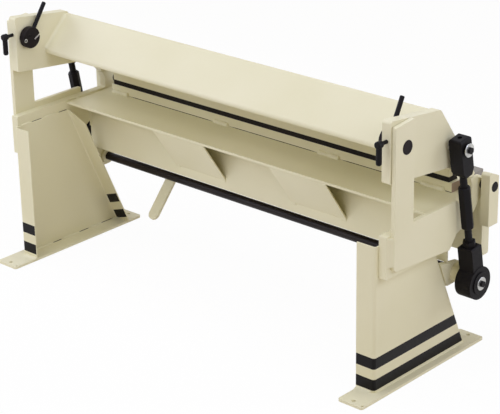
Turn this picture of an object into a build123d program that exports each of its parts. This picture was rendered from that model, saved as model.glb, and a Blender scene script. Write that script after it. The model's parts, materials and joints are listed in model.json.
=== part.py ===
# Box and pan brake, built as separate pieces in millimetres.
# X runs along the bed, the operator stands on the -Y side, Z is up from the floor.
# The origin is on the floor at the centre of the anchor hole pattern.
# Each end piece is drawn for the +X end; the -X end is its mirror image.

import math
import os

from build123d import *

# Fingers, listed from the middle of the row outwards
wide_finger = 125.0
medium_finger = 100.0
narrow_finger = 70.0
finger_order = "wmnwmwnmwn"
finger_split = 0.6

# Stack of plates along X, from the finger row outwards
nose_overhang = 16.0
hinge_room = 57.0
side_thick = 39.0
post_thick = 20.0
end_thick = 43.0
end_gap = 2.0
link_room = 29.0

# Floor plates and legs
foot_width = 128.0
foot_length = 838.0
foot_thick = 12.0
foot_corner = 12.0
foot_overlap = 40.0
anchor_diameter = 18.0
anchor_inset = 27.0
leveller_diameter = 10.0
leveller_inset = 9.0
leg_depth = 96.0
leg_sheet = 6.0
leg_bend = 14.0
leg_height = 651.0
leg_rear = 291.0
leg_front_foot = -330.0
leg_front_head = -46.0
flange_drop = 60.0

# Side plates and post plates
side_rear = 271.0
side_drop = 8.0
side_step = 26.0
side_height = 211.0
ear_front = -330.0
ear_width = 44.0
ear_undercut = 14.0
ear_lip = 30.0
ear_rise = 46.0
nose_radius = 30.0
nose_foot_y = -280.0
nose_foot_drop = 140.0
relief_y = -190.0
relief_drop = 166.0
relief_foot = -125.0
arm_front = -172.0
arm_front_drop = 150.0
post_rear = 244.0
post_width = 120.0
post_top = 1166.0
post_rise = 10.0
arm_height_rear = 180.0
arm_height_front = 208.0

# Bed
bed_top = 744.0
bend_y = -374.0
nose_depth = 84.0
nose_height = 42.0
shelf_depth = 330.0
shelf_thick = 12.0
web_y = -190.0
web_thick = 8.0
web_height = 257.0
gusset_width = 322.0
gusset_thick = 6.0
gusset_foot = 45.0
gusset_right_x = 340.0
gusset_left_x = -380.0

# Apron hinge
hinge_pin_diameter = 44.0

# Clamp shaft and its eccentrics
shaft_y = -262.0
shaft_z = 369.0
shaft_diameter = 40.0
tail_diameter = 28.0
tail_land = 8.0
housing_thick = 44.0
housing_radius = 46.0
hanger_thick = 24.0
hanger_rise = 68.0
boss_length = 38.0
boss_diameter = 76.0
bush_diameter = 52.0
eccentric_diameter = 80.0
eccentric_throw = 17.5
eccentric_angle = 297.0
eccentric_cap = 98.0
cap_thick = 4.0
lever_x = 609.0
lever_width = 58.0
lever_thick = 14.0
lever_offset = 10.0
lever_length = 227.0
lever_lean = 41.0

# Links between the eccentrics and the beam
link_pin_y = -141.0
link_pin_z = 981.0
link_pin_diameter = 34.0
head_width = 70.0
head_thick = 64.0
head_below = 124.0
head_above = 48.0
head_taper = 24.0
head_round = 11.0
head_hole = 20.0
head_hole_depth = 22.0
eye_radius = 73.0
eye_thick = 78.0
eye_slack = 3.0
shank_width = 68.0
shank_length = 176.0
stud_diameter = 30.0
turnbuckle_flats = 48.0
turnbuckle_length = 198.0
turnbuckle_gap = 56.0
stud_grip = 62.0
nut_flats = 50.0
nut_height = 23.0
spacer_diameter = 42.0
link_gap = 2.0
pin_stand = 10.0
washer_diameter = 58.0
washer_thick = 4.0
bolt_diameter = 16.0
bolt_flats = 26.0
bolt_head = 10.0
bolt_length = 30.0

# Clamping beam
pivot_y = 170.0
pivot_z = 1070.0
ridge_y = -73.0
ridge_z = 1150.0
fold_y = 88.0
fold_z = 985.0
toe_y = -318.0
toe_z = 808.0
heel_y = -286.0
shell_wall = 8.0
shell_bend = 16.0
end_rear = 250.0
end_top = 1190.0
end_bottom = 927.0
end_toe = -312.0
end_foot = 30.0
throat_slant = 82.0
throat_z = 878.0
throat_radius = 78.0
end_lift = 6.0

# Finger bar, finger section and finger bolts
bar_rear = -290.0
bar_depth = 24.0
bar_height = 40.0
finger_tip_y = -350.0
finger_tip_height = 3.5
finger_lip = 9.0
finger_lip_height = 32.0
finger_rest = 0.5
finger_bolt_diameter = 10.0
finger_head_diameter = 16.0
finger_head_height = 6.0
finger_head_depth = 5.0
finger_bolt_rise = 16.0
finger_bolt_length = 18.0

# Setback adjustment
setback_throw = 3.0
journal_diameter = 60.0
setback_diameter = 72.0
setback_slack = 0.5
setback_bush_diameter = 84.0
disc_diameter = 100.0
disc_thick = 30.0
disc_gap = 3.0
disc_rise = 18.0
disc_back = 12.0
disc_slot = 4.0
disc_slot_length = 40.0
disc_slot_inset = 34.0
disc_slot_lean = -29.0
disc_groove = 2.5
disc_groove_length = 40.0
disc_groove_rise = 11.0
disc_groove_depth = 6.0
setback_lever_diameter = 20.0
setback_lever_length = 178.0
setback_lean_left = 27.3
setback_lean_right = 34.4
setback_socket = 15.0
lock_x_inset = 20.0
lock_drop = 86.0
lock_screw_diameter = 16.0
lock_screw_depth = 45.0
lock_reach = 33.0
lock_hub_diameter = 30.0
lock_hub_length = 28.0
lock_arm_diameter = 24.0
lock_arm_length = 86.0

# Apron
apron_gap = 2.0
apron_bar_depth = 137.0
apron_bar_thick = 30.0
apron_setback = 38.0
apron_wall = 12.0
apron_depth = 354.0
apron_section = 51.0
apron_overhang = 16.0
block_inset = 18.5
block_thick = 43.5
block_behind = 38.0
block_ahead = 28.0
block_height = 244.0
block_above = 72.0
block_fall = 28.0
block_corner = 14.0
block_lug = 16.0
apron_bolt_diameter = 12.0
apron_bolt_flats = 19.0
apron_bolt_head = 8.0
apron_bolt_grip = 22.0
apron_bolt_count = 9
apron_bolt_pitch = 240.0
handle_x = 820.0
handle_z = 600.0
handle_diameter = 30.0
handle_length = 300.0
handle_droop = 35.0
grip_diameter = 38.0
grip_length = 130.0

# Clearances
running = 0.05
fixing = 0.1

# Places that follow from the sizes above
finger_widths = {"w": wide_finger, "m": medium_finger, "n": narrow_finger}
half_row = sum(finger_widths[letter] for letter in finger_order)
nose_end = half_row + nose_overhang
bed_end = nose_end + hinge_room
side_face = bed_end + side_thick
post_face = side_face + post_thick
end_face = side_face - end_gap
end_back = end_face - end_thick
link_x = post_face + link_room
foot_outer = bed_end + foot_overlap
foot_x = foot_outer - foot_width / 2
leg_top = foot_thick + leg_height
side_top = bed_top - side_drop
side_bottom = side_top - side_height
post_front = post_rear - post_width
nose_rear = bend_y + nose_depth
shelf_top = bed_top - nose_height
shelf_bottom = shelf_top - shelf_thick
shelf_rear = bend_y + shelf_depth
web_bottom = shelf_bottom - web_height
ear_top = bed_top + ear_rise
ear_rear = ear_front + ear_width
ear_waist = ear_rear - ear_undercut
throat_y = end_toe + end_foot
housing_face = bed_end + housing_thick
boss_back = bed_end - boss_length
throw_angle = math.radians(eccentric_angle)
eye_y = shaft_y + eccentric_throw * math.cos(throw_angle)
eye_z = shaft_z + eccentric_throw * math.sin(throw_angle)
link_length = math.hypot(link_pin_y - eye_y, link_pin_z - eye_z)
head_base = link_length - head_below
turnbuckle_top = head_base - turnbuckle_gap
turnbuckle_base = turnbuckle_top - turnbuckle_length
eye_inner = link_x - eye_thick / 2
eye_outer = link_x + eye_thick / 2
head_inner = link_x - head_thick / 2
head_outer = link_x + head_thick / 2
pin_end = head_outer + pin_stand
cap_inner = eye_outer + link_gap / 2
cap_outer = cap_inner + cap_thick
shaft_end = cap_outer - bolt_length - tail_land
journal_z = pivot_z - setback_throw
disc_z = journal_z + disc_rise
disc_y = pivot_y + disc_back
disc_inner = end_back - disc_gap - disc_thick
bar_front = bar_rear - bar_depth
bar_bottom = toe_z - bar_height
finger_bottom = bed_top + finger_rest
finger_bolt_z = bar_bottom + finger_bolt_rise
finger_seat_y = bar_front - finger_head_depth
lock_x = end_face - lock_x_inset
lock_z = end_top - lock_drop
lock_hub_y = end_rear + lock_reach
apron_bar_rear = bend_y - apron_gap
apron_rear = apron_bar_rear - apron_setback
apron_face = apron_rear - apron_wall
apron_front = apron_face - (apron_section - apron_wall)
apron_bottom = bed_top - apron_depth
leaf_top = bed_top - apron_bar_thick
apron_end = bed_end + apron_overhang
apron_bolt_y = (apron_face + apron_front) / 2
block_inner = side_face + block_inset
block_outer = block_inner + block_thick
lug_outer = block_inner + block_lug
block_top = bed_top + block_above
block_bottom = block_top - block_height
link_plane = Plane(
    origin=(link_x, eye_y, eye_z),
    x_dir=(1, 0, 0),
    z_dir=(0, link_pin_y - eye_y, link_pin_z - eye_z),
)


def slab(points, low, high, corners=0.0):
    # A plate with its outline in the Y-Z plane, from X = low to X = high.
    outline = make_face(FilletPolyline(*points, radius=corners, close=True))
    return extrude(Plane.YZ.offset(low) * outline, amount=high - low, dir=(1, 0, 0))


def block(x_span, y_span, z_span):
    sizes = [span[1] - span[0] for span in (x_span, y_span, z_span)]
    middle = [(span[0] + span[1]) / 2 for span in (x_span, y_span, z_span)]
    return Pos(*middle) * Box(*sizes)


def rod(start, direction, diameter, length):
    plane = Plane(origin=start, z_dir=direction)
    low = (Align.CENTER, Align.CENTER, Align.MIN)
    return plane * Cylinder(diameter / 2, length, align=low)


def rod_x(y, z, diameter, low, high):
    return rod((low, y, z), (1, 0, 0), diameter, high - low)


def hexagon_rod(plane, flats, length):
    return extrude(plane * RegularPolygon(flats / math.sqrt(3), 6), amount=length)


def other_end(piece):
    return mirror(piece, about=Plane.YZ)


def both_ends(piece):
    return Compound([piece, other_end(piece)])


def foot(side):
    x_low = foot_x - foot_width / 2
    x_high = foot_x + foot_width / 2
    half = foot_length / 2
    plate = block((x_low, x_high), (-half, half), (0, foot_thick))
    plate = fillet(plate.edges().filter_by(Axis.Z), foot_corner)
    plate = plate if side > 0 else other_end(plate)
    for y in (anchor_inset - half, half - anchor_inset):
        plate -= rod((side * foot_x, y, 0), (0, 0, 1), anchor_diameter, foot_thick)
    leveller = (side * foot_x - foot_width / 2 + leveller_inset, half - leveller_inset - foot_corner / 2, 0)
    return plate - rod(leveller, (0, 0, 1), leveller_diameter, foot_thick)


def leg():
    # A folded channel: web on the outside, flanges bent inwards at the rear and front.
    slope = (leg_front_head - leg_front_foot) / leg_height
    wall = leg_sheet * math.hypot(1, slope)
    front = [leg_front_foot, leg_front_head]

    def prism(inset, high, reach, radius):
        low_z = foot_thick - reach
        high_z = leg_top + reach
        outline = [
            (leg_rear - inset, low_z),
            (leg_rear - inset, high_z),
            (front[1] + inset / leg_sheet * wall + slope * reach, high_z),
            (front[0] + inset / leg_sheet * wall - slope * reach, low_z),
        ]
        solid = slab(outline, bed_end - leg_depth - reach, high)
        upright = [
            edge
            for edge in solid.edges()
            if abs(edge.center().X - high) < 0.01 and abs(edge.tangent_at(0.5).Z) > 0.5
        ]
        return fillet(upright, radius)

    channel = prism(0.0, bed_end, 0.0, leg_bend)
    channel -= prism(leg_sheet, bed_end - leg_sheet, 5.0, leg_bend - leg_sheet)
    corner = [
        (bed_end - leg_bend, leg_top),
        (bed_end - leg_depth - 1, leg_top),
        (bed_end - leg_depth - 1, leg_top - flange_drop),
    ]
    wedge = extrude(
        Plane.XZ.offset(-front[1] - leg_bend) * make_face(Polyline(*corner, close=True)),
        amount=2 * leg_depth,
        dir=(0, -1, 0),
    )
    return channel - wedge


def side_plate():
    # Carries the bed, and its front ear is the bearing of the apron's hinge pin.
    nose = nose_radius * math.sqrt(0.5)
    points = [
        (side_rear, side_bottom),
        (side_rear, side_top - side_step),
        (ear_waist, side_top - side_step),
        (ear_waist, ear_top - ear_lip),
        (ear_rear, ear_top),
        (ear_front, ear_top),
        (bend_y, bed_top + nose),
        (bend_y - nose, bed_top - nose),
        (nose_foot_y, side_top - nose_foot_drop),
        (relief_y, side_top - relief_drop),
        (relief_foot, side_bottom),
    ]
    corners = [0.0, 4.0, 8.0, 24.0, 3.0, 6.0, 0.0, 0.0, 12.0, 40.0, 10.0]
    plate = slab(points, bed_end, side_face, corners)
    plate += rod_x(bend_y, bed_top, 2 * nose_radius, bed_end, side_face)
    return plate - rod_x(bend_y, bed_top, hinge_pin_diameter + 2 * running, bed_end, side_face)


def post_plate():
    points = [
        (post_rear, side_top - arm_height_rear),
        (post_rear, post_top),
        (post_front, post_top + post_rise),
        (post_front, side_top),
        (arm_front, side_top),
        (arm_front, side_top - arm_front_drop),
        (relief_foot, side_top - arm_height_front),
    ]
    plate = slab(points, side_face, post_face, [18.0, 6.0, 6.0, 6.0, 4.0, 30.0, 10.0])
    bore = journal_diameter + 2 * running
    return plate - rod_x(pivot_y, journal_z, bore, side_face, post_face)


def bed_shelf():
    return block((-bed_end, bed_end), (bend_y, shelf_rear), (shelf_bottom, shelf_top))


def bed_web():
    return block((-bed_end, bed_end), (web_y - web_thick, web_y), (web_bottom, shelf_bottom))


def bed_gussets():
    foot_z = web_bottom + gusset_foot
    run = shelf_rear - web_y
    rise = shelf_bottom - foot_z
    wall_y = gusset_thick * math.hypot(run, rise) / rise
    outline = [
        (web_y, foot_z),
        (shelf_rear, shelf_bottom),
        (shelf_rear - wall_y, shelf_bottom),
        (web_y, foot_z + wall_y * rise / run),
    ]
    half = gusset_width / 2
    return Compound([slab(outline, x - half, x + half) for x in (gusset_left_x, gusset_right_x)])


def bed_nose_bar():
    return block((-nose_end, nose_end), (bend_y, nose_rear), (shelf_top, bed_top))


def shaft_bearing():
    # A hanger welded against the leg's front flange, with a hub outside it and a boss inside.
    slope = (leg_front_head - leg_front_foot) / leg_height

    def flange(z):
        return leg_front_foot + slope * (z - foot_thick) - fixing

    low = shaft_z - housing_radius
    high = shaft_z + hanger_rise
    outline = [(flange(low), low), (flange(high), high), (shaft_y, shaft_z + housing_radius), (shaft_y, low)]
    body = slab(outline, bed_end - hanger_thick, bed_end)
    body += rod_x(shaft_y, shaft_z, 2 * housing_radius, bed_end - hanger_thick, housing_face)
    body += rod_x(shaft_y, shaft_z, boss_diameter, boss_back, bed_end)
    return body - rod_x(shaft_y, shaft_z, bush_diameter, boss_back, housing_face)


def shaft_bush():
    bush = rod_x(shaft_y, shaft_z, bush_diameter, boss_back, housing_face)
    return bush - rod_x(shaft_y, shaft_z, shaft_diameter + 2 * running, boss_back, housing_face)


def clamp_shaft():
    # The bar ends at the eccentrics, and a turned-down tail carries each of them.
    bar = rod_x(shaft_y, shaft_z, shaft_diameter, -eye_inner, eye_inner)
    tail = rod_x(shaft_y, shaft_z, tail_diameter, eye_inner, shaft_end)
    tail = chamfer(tail.edges().group_by(Axis.X)[-1], 1.5)
    return bar + tail + other_end(tail)


def clamp_lever():
    # A flat bar with a round end, butted against the underside of the shaft.
    lean = math.radians(lever_lean)
    down = (0, math.sin(lean), -math.cos(lean))
    face = (0, math.cos(lean), math.sin(lean))
    drop = lever_offset + lever_thick / 2
    start = (lever_x, shaft_y - drop * face[1], shaft_z - drop * face[2])
    straight = lever_length - lever_width / 2
    outline = Pos(straight / 2, 0) * Rectangle(straight, lever_width) + Pos(straight, 0) * Circle(lever_width / 2)
    bar = extrude(Plane(origin=start, x_dir=down, z_dir=face) * outline, amount=lever_thick, dir=face)
    eye = shaft_diameter + 2 * fixing
    return bar - rod_x(shaft_y, shaft_z, eye, lever_x - lever_width, lever_x + lever_width)


def clamp_eccentric():
    body = rod_x(eye_y, eye_z, eccentric_diameter, eye_inner, cap_inner)
    cap = rod_x(eye_y, eye_z, eccentric_cap, cap_inner, cap_outer)
    body += chamfer(cap.edges().group_by(Axis.X)[-1], 1.0)
    body -= rod_x(shaft_y, shaft_z, tail_diameter + 2 * fixing, eye_inner, shaft_end)
    return body - rod_x(eye_y, eye_z, bolt_diameter + 2 * fixing, cap_outer - bolt_length, cap_outer)


def washer(y, z, low):
    disc = rod_x(y, z, washer_diameter, low, low + washer_thick)
    disc = chamfer(disc.edges().group_by(Axis.X)[-1], 0.8)
    return disc - rod_x(y, z, bolt_diameter + 2 * fixing, low, low + washer_thick)


def bolt(y, z, seat, length):
    # A hexagon bolt along X with its head outside the seat.
    head = hexagon_rod(Plane(origin=(seat, y, z), z_dir=(1, 0, 0)), bolt_flats, bolt_head)
    return head + rod_x(y, z, bolt_diameter, seat - length, seat)


def link_eye():
    # Built along the link: local Z runs from the eye to the beam's pin.
    low = (Align.CENTER, Align.CENTER, Align.MIN)
    shank = Box(eye_thick - 4, shank_width, shank_length, align=low)
    shank = chamfer(shank.edges().group_by(Axis.Z)[-1], 5.0)
    stud_top = turnbuckle_base + stud_grip
    stud = Pos(0, 0, shank_length) * Cylinder(stud_diameter / 2, stud_top - shank_length, align=low)
    ring = Rot(0, 90, 0) * Cylinder(eye_radius, eye_thick)
    bore = Rot(0, 90, 0) * Cylinder(eccentric_diameter / 2 + eye_slack, eye_thick)
    return link_plane * (shank + stud + ring - bore)


def link_head():
    low = (Align.CENTER, Align.CENTER, Align.MIN)
    body = Pos(0, 0, head_base) * Box(head_thick, head_width, head_below + head_above, align=low)
    bottom = body.edges().group_by(Axis.Z)[0].filter_by(Axis.X)
    body = chamfer(bottom, head_taper, head_taper * 0.6)
    body = fillet(body.edges().group_by(Axis.Z)[-1], head_round)
    stud_base = turnbuckle_top - stud_grip
    body += Pos(0, 0, stud_base) * Cylinder(stud_diameter / 2, head_base - stud_base, align=low)
    high = (Align.CENTER, Align.CENTER, Align.MAX)
    body -= Pos(0, 0, link_length + head_above) * Cylinder(head_hole / 2, head_hole_depth, align=high)
    bore = link_pin_diameter / 2 + running
    body -= Pos(0, 0, link_length) * Rot(0, 90, 0) * Cylinder(bore, head_thick)
    return link_plane * body


def link_nut():
    plane = Plane(origin=(0, 0, shank_length))
    nut = hexagon_rod(plane, nut_flats, nut_height)
    hole = Cylinder(stud_diameter / 2 + fixing, nut_height, align=(Align.CENTER, Align.CENTER, Align.MIN))
    return link_plane * (nut - Pos(0, 0, shank_length) * hole)


def turnbuckle():
    plane = Plane(origin=(0, 0, turnbuckle_base))
    body = hexagon_rod(plane, turnbuckle_flats, turnbuckle_length)
    cone = Cone(
        turnbuckle_flats / 2 - 3,
        turnbuckle_flats / 2 - 3 + turnbuckle_length,
        turnbuckle_length,
        align=(Align.CENTER, Align.CENTER, Align.MIN),
    )
    body &= Pos(0, 0, turnbuckle_base) * cone
    body &= Pos(0, 0, turnbuckle_top) * Rot(180, 0, 0) * cone
    hole = Cylinder(stud_diameter / 2 + running, turnbuckle_length)
    return link_plane * (body - Pos(0, 0, turnbuckle_base + turnbuckle_length / 2) * hole)


def beam_shell():
    points = [(ridge_y, ridge_z), (fold_y, fold_z), (heel_y, toe_z), (toe_y, toe_z)]
    outer = make_face(FilletPolyline(*points, radius=[shell_bend, shell_bend, 4.0, 4.0], close=True))
    inner = offset(make_face(Polyline(*points, close=True)), -shell_wall, kind=Kind.INTERSECTION)
    section = Plane.YZ.offset(-end_back) * (outer - inner)
    return extrude(section, amount=2 * end_back, dir=(1, 0, 0))


def beam_end():
    points = [
        (end_rear, end_bottom),
        (end_rear, end_top),
        (ridge_y, ridge_z),
        (toe_y, toe_z),
        (end_toe, ear_top + end_lift),
        (throat_y, ear_top + end_lift),
        (throat_y + throat_slant, throat_z),
    ]
    corners = [8.0, 14.0, shell_bend, 4.0, 2.0, 1.5, throat_radius]
    plate = slab(points, end_back, end_face, corners)
    bush_bore = setback_bush_diameter + 2 * running
    plate -= rod_x(pivot_y, pivot_z, bush_bore, end_back, end_face)
    plate -= rod_x(link_pin_y, link_pin_z, link_pin_diameter + 2 * fixing, end_back, end_face)
    screw = lock_screw_diameter + 2 * running
    return plate - rod((lock_x, end_rear, lock_z), (0, -1, 0), screw, lock_screw_depth)


def link_pin():
    pin = rod_x(link_pin_y, link_pin_z, link_pin_diameter, end_back, pin_end)
    hole = rod_x(link_pin_y, link_pin_z, bolt_diameter + 2 * fixing, pin_end - bolt_length, pin_end)
    return pin - hole


def link_spacer():
    ring = rod_x(link_pin_y, link_pin_z, spacer_diameter, end_face, head_inner - link_gap)
    hole = link_pin_diameter + 2 * fixing
    return ring - rod_x(link_pin_y, link_pin_z, hole, end_face, head_inner - link_gap)


def finger_places():
    # Middle X of each finger on the +X half of the row, with its width letter.
    places = []
    start = 0.0
    for letter in finger_order:
        places.append((letter, start + finger_widths[letter] / 2))
        start += finger_widths[letter]
    return places


def finger_bolt(x, slack=0.0):
    shank = finger_bolt_diameter + 2 * slack
    head = finger_head_diameter + 2 * slack
    seat = (x, finger_seat_y, finger_bolt_z)
    reach = finger_head_depth + finger_bolt_length + slack
    body = rod(seat, (0, 1, 0), shank, reach)
    return body + rod(seat, (0, -1, 0), head, finger_head_height + 20 * slack)


def finger(x, width):
    lip_top = bar_bottom + finger_lip_height
    outline = [
        (bar_rear, finger_bottom),
        (bar_rear, bar_bottom),
        (bar_front, bar_bottom),
        (bar_front, lip_top),
        (bar_front - finger_lip, lip_top),
        (finger_tip_y, bed_top + finger_tip_height),
        (finger_tip_y, finger_bottom),
    ]
    half = (width - finger_split) / 2
    body = slab(outline, x - half, x + half)
    body -= finger_bolt(x, fixing)
    recess = rod((x, finger_seat_y, finger_bolt_z), (0, -1, 0), finger_head_diameter + 2, 60)
    return body - recess


def fingers(letter):
    spots = [x for name, x in finger_places() if name == letter]
    width = finger_widths[letter]
    return Compound([finger(side * x, width) for x in spots for side in (-1, 1)])


def finger_bar():
    bar = block((-half_row, half_row), (bar_front, bar_rear), (bar_bottom, toe_z))
    holes = [finger_bolt(side * x, fixing) for name, x in finger_places() for side in (-1, 1)]
    return bar - holes


def finger_bolts():
    return Compound([finger_bolt(side * x) for name, x in finger_places() for side in (-1, 1)])


def setback_pin(lean):
    # Outer journal in the post plate, eccentric in the beam's end plate, split disc on the inside.
    middle = end_face + end_gap / 4
    body = rod_x(pivot_y, journal_z, journal_diameter, middle, post_face + 1.5)
    body = chamfer(body.edges().group_by(Axis.X)[-1], 1.0)
    body += rod_x(pivot_y, pivot_z, setback_diameter, disc_inner + disc_thick, middle)
    disc = rod_x(disc_y, disc_z, disc_diameter, disc_inner, disc_inner + disc_thick)
    body += chamfer(disc.edges().filter_by(GeomType.CIRCLE), 1.5) - disc_cuts()
    return body - setback_lever_rod(setback_lever_diameter + 2 * fixing, lean)


def disc_cuts():
    # A slot through the disc's front rim and a shallow groove across its rear half.
    middle = disc_inner + disc_thick / 2
    slot = Rot(disc_slot_lean, 0, 0) * Box(2 * disc_thick, disc_slot_length, disc_slot)
    groove = Box(2 * disc_groove_depth, disc_groove_length, disc_groove)
    place = (disc_inner, disc_y + disc_groove_length / 2, disc_z + disc_groove_rise)
    return [Pos(middle, disc_y - disc_slot_inset, disc_z) * slot, Pos(*place) * groove]


def setback_lever_rod(diameter, lean):
    angle = math.radians(lean)
    direction = (0, -math.sin(angle), math.cos(angle))
    base = disc_diameter / 2 - setback_socket
    middle = disc_inner + disc_thick / 2
    start = (middle, disc_y + base * direction[1], disc_z + base * direction[2])
    return rod(start, direction, diameter, setback_lever_length - base)


def setback_lever(lean):
    bar = setback_lever_rod(setback_lever_diameter, lean)
    tip = bar.edges().filter_by(GeomType.CIRCLE).sort_by(Axis.Z)[-1]
    return fillet(tip, setback_lever_diameter / 4)


def setback_bush():
    low = end_back
    bush = rod_x(pivot_y, pivot_z, setback_bush_diameter, low, end_face)
    return bush - rod_x(pivot_y, pivot_z, setback_diameter + 2 * setback_slack, low, end_face)


def lock_screw():
    start = (lock_x, end_rear - lock_screw_depth + 1, lock_z)
    body = rod(start, (0, 1, 0), lock_screw_diameter, lock_screw_depth + lock_reach)
    hub = rod((lock_x, lock_hub_y, lock_z), (0, 1, 0), lock_hub_diameter, lock_hub_length)
    body += fillet(hub.edges().filter_by(GeomType.CIRCLE), 4.0)
    middle = (lock_x, lock_hub_y + lock_hub_length / 2, lock_z)
    arm = rod(middle, (0, 0, -1), lock_arm_diameter, lock_arm_length)
    low_end = arm.edges().filter_by(GeomType.CIRCLE).sort_by(Axis.Z)[0]
    return body + fillet(low_end, lock_arm_diameter / 3)


def apron_leaf():
    # The upright plate of the apron, with wide ears that carry the end blocks.
    outline = [
        (-lug_outer, leaf_top),
        (lug_outer, leaf_top),
        (lug_outer, block_bottom),
        (apron_end, block_bottom),
        (apron_end, apron_bottom),
        (-apron_end, apron_bottom),
        (-apron_end, block_bottom),
        (-lug_outer, block_bottom),
    ]
    corners = [0, 0, 8, 6, 0, 0, 6, 8]
    face = make_face(FilletPolyline(*outline, radius=corners, close=True))
    return extrude(Plane.XZ.offset(-apron_rear) * face, amount=apron_wall, dir=(0, -1, 0))


def apron_flanges():
    # Flat bars along the front of the leaf at its top and bottom, closed by a bar at each end.
    along = (-apron_end, apron_end)
    out = (apron_front, apron_face)
    top = block(along, out, (leaf_top - apron_wall, leaf_top))
    hole = apron_bolt_diameter + 2 * fixing
    for x in apron_bolt_places():
        top -= rod((x, apron_bolt_y, leaf_top), (0, 0, -1), hole, apron_wall)
    bottom = block(along, out, (apron_bottom, apron_bottom + apron_wall))
    front = bottom.edges().filter_by(Axis.X).group_by(Axis.Z)[0].sort_by(Axis.Y)[0]
    bottom = fillet(front, apron_wall * 0.8)
    cap = block((apron_end - apron_wall, apron_end), out, (apron_bottom + apron_wall, leaf_top - apron_wall))
    return Compound([top, bottom, cap, other_end(cap)])


def apron_bolt_places():
    first = -(apron_bolt_count - 1) / 2
    return [(first + index) * apron_bolt_pitch for index in range(apron_bolt_count)]


def apron_bar():
    # A flat bare plate bolted to the top of the leaf; its rear edge does the bending.
    front = apron_bar_rear - apron_bar_depth
    bar = block((-nose_end, nose_end), (front, apron_bar_rear), (leaf_top, bed_top))
    hole = apron_bolt_diameter + 2 * fixing
    for x in apron_bolt_places():
        bar -= rod((x, apron_bolt_y, leaf_top), (0, 0, 1), hole, apron_bolt_grip)
    return bar


def apron_bolt(x):
    seat = (x, apron_bolt_y, leaf_top - apron_wall)
    head = hexagon_rod(Plane(origin=seat, z_dir=(0, 0, -1)), apron_bolt_flats, apron_bolt_head)
    return head + rod(seat, (0, 0, 1), apron_bolt_diameter, apron_wall + apron_bolt_grip)


def apron_block():
    # Holds the hinge pin; a lug along its inner side reaches the leaf.
    rear, front = bend_y + block_behind, bend_y - block_ahead
    points = [
        (rear, block_bottom),
        (rear, block_top),
        (front, block_top - block_fall),
        (front, block_bottom),
    ]
    body = slab(points, block_inner, block_outer, [4.0, block_corner, 8.0, 4.0])
    body += block((block_inner, lug_outer), (apron_rear, front + 6), (block_bottom + 12, leaf_top))
    pin = hinge_pin_diameter + 2 * fixing
    return body - rod_x(bend_y, bed_top, pin, block_inner, block_outer)


def hinge_pin():
    pin = rod_x(bend_y, bed_top, hinge_pin_diameter, bed_end, block_outer + 2)
    return chamfer(pin.edges().filter_by(GeomType.CIRCLE), 1.5)


def handle_axis():
    droop = math.radians(handle_droop)
    return (0, -math.cos(droop), -math.sin(droop))


def handle_rod(diameter, start, length):
    axis = handle_axis()
    place = (handle_x, apron_face + start * axis[1], handle_z + start * axis[2])
    return rod(place, axis, diameter, length)


def apron_handle():
    bar = handle_rod(handle_diameter, -handle_diameter, handle_length + handle_diameter)
    keep = 2 * handle_diameter
    wall = block(
        (handle_x - keep, handle_x + keep),
        (apron_face, apron_face + 2 * keep),
        (handle_z - 2 * keep, handle_z + 2 * keep),
    )
    return bar - wall


def apron_grip():
    sleeve = handle_rod(grip_diameter, handle_length - grip_length, grip_length + 5)
    sleeve = fillet(sleeve.edges().filter_by(GeomType.CIRCLE), 3.0)
    return sleeve - handle_rod(handle_diameter, handle_length - grip_length - 1, grip_length + 1)


def pieces():
    shapes = {}
    paired = {
        "leg": leg,
        "side_plate": side_plate,
        "post_plate": post_plate,
        "shaft_bearing": shaft_bearing,
        "clamp_eccentric": clamp_eccentric,
        "link_eye": link_eye,
        "link_head": link_head,
        "link_nut": link_nut,
        "turnbuckle": turnbuckle,
        "beam_end": beam_end,
        "lock_screw": lock_screw,
        "apron_block": apron_block,
    }
    for name, build in paired.items():
        shape = build()
        shapes[name + "_right"] = shape
        shapes[name + "_left"] = other_end(shape)
    shapes["foot_right"] = foot(1)
    shapes["foot_left"] = foot(-1)
    shapes["setback_pin_right"] = setback_pin(setback_lean_right)
    shapes["setback_pin_left"] = other_end(setback_pin(setback_lean_left))
    shapes["setback_lever_right"] = setback_lever(setback_lean_right)
    shapes["setback_lever_left"] = other_end(setback_lever(setback_lean_left))
    grouped = {
        "shaft_bushes": shaft_bush(),
        "eccentric_washers": washer(eye_y, eye_z, cap_outer),
        "eccentric_bolts": bolt(eye_y, eye_z, cap_outer + washer_thick, bolt_length),
        "link_pins": link_pin(),
        "link_spacers": link_spacer(),
        "link_washers": washer(link_pin_y, link_pin_z, pin_end),
        "link_bolts": bolt(link_pin_y, link_pin_z, pin_end + washer_thick, bolt_length),
        "setback_bushes": setback_bush(),
        "hinge_pins": hinge_pin(),
        "apron_handles": apron_handle(),
        "apron_grips": apron_grip(),
    }
    for name, shape in grouped.items():
        shapes[name] = both_ends(shape)
    shapes["bed_shelf"] = bed_shelf()
    shapes["bed_web"] = bed_web()
    shapes["bed_gussets"] = bed_gussets()
    shapes["bed_nose_bar"] = bed_nose_bar()
    shapes["clamp_shaft"] = clamp_shaft()
    shapes["clamp_lever"] = clamp_lever()
    shapes["beam_shell"] = beam_shell()
    shapes["finger_bar"] = finger_bar()
    shapes["fingers_wide"] = fingers("w")
    shapes["fingers_medium"] = fingers("m")
    shapes["fingers_narrow"] = fingers("n")
    shapes["finger_bolts"] = finger_bolts()
    shapes["apron_leaf"] = apron_leaf()
    shapes["apron_flanges"] = apron_flanges()
    shapes["apron_bar"] = apron_bar()
    shapes["apron_bolts"] = Compound([apron_bolt(x) for x in apron_bolt_places()])
    return shapes


os.makedirs("parts", exist_ok=True)
for name, shape in pieces().items():
    export_step(shape, f"parts/{name}.step")
    print(name)
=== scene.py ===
import json
import math

import bpy
import numpy as np
from mathutils import Matrix, Vector

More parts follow.
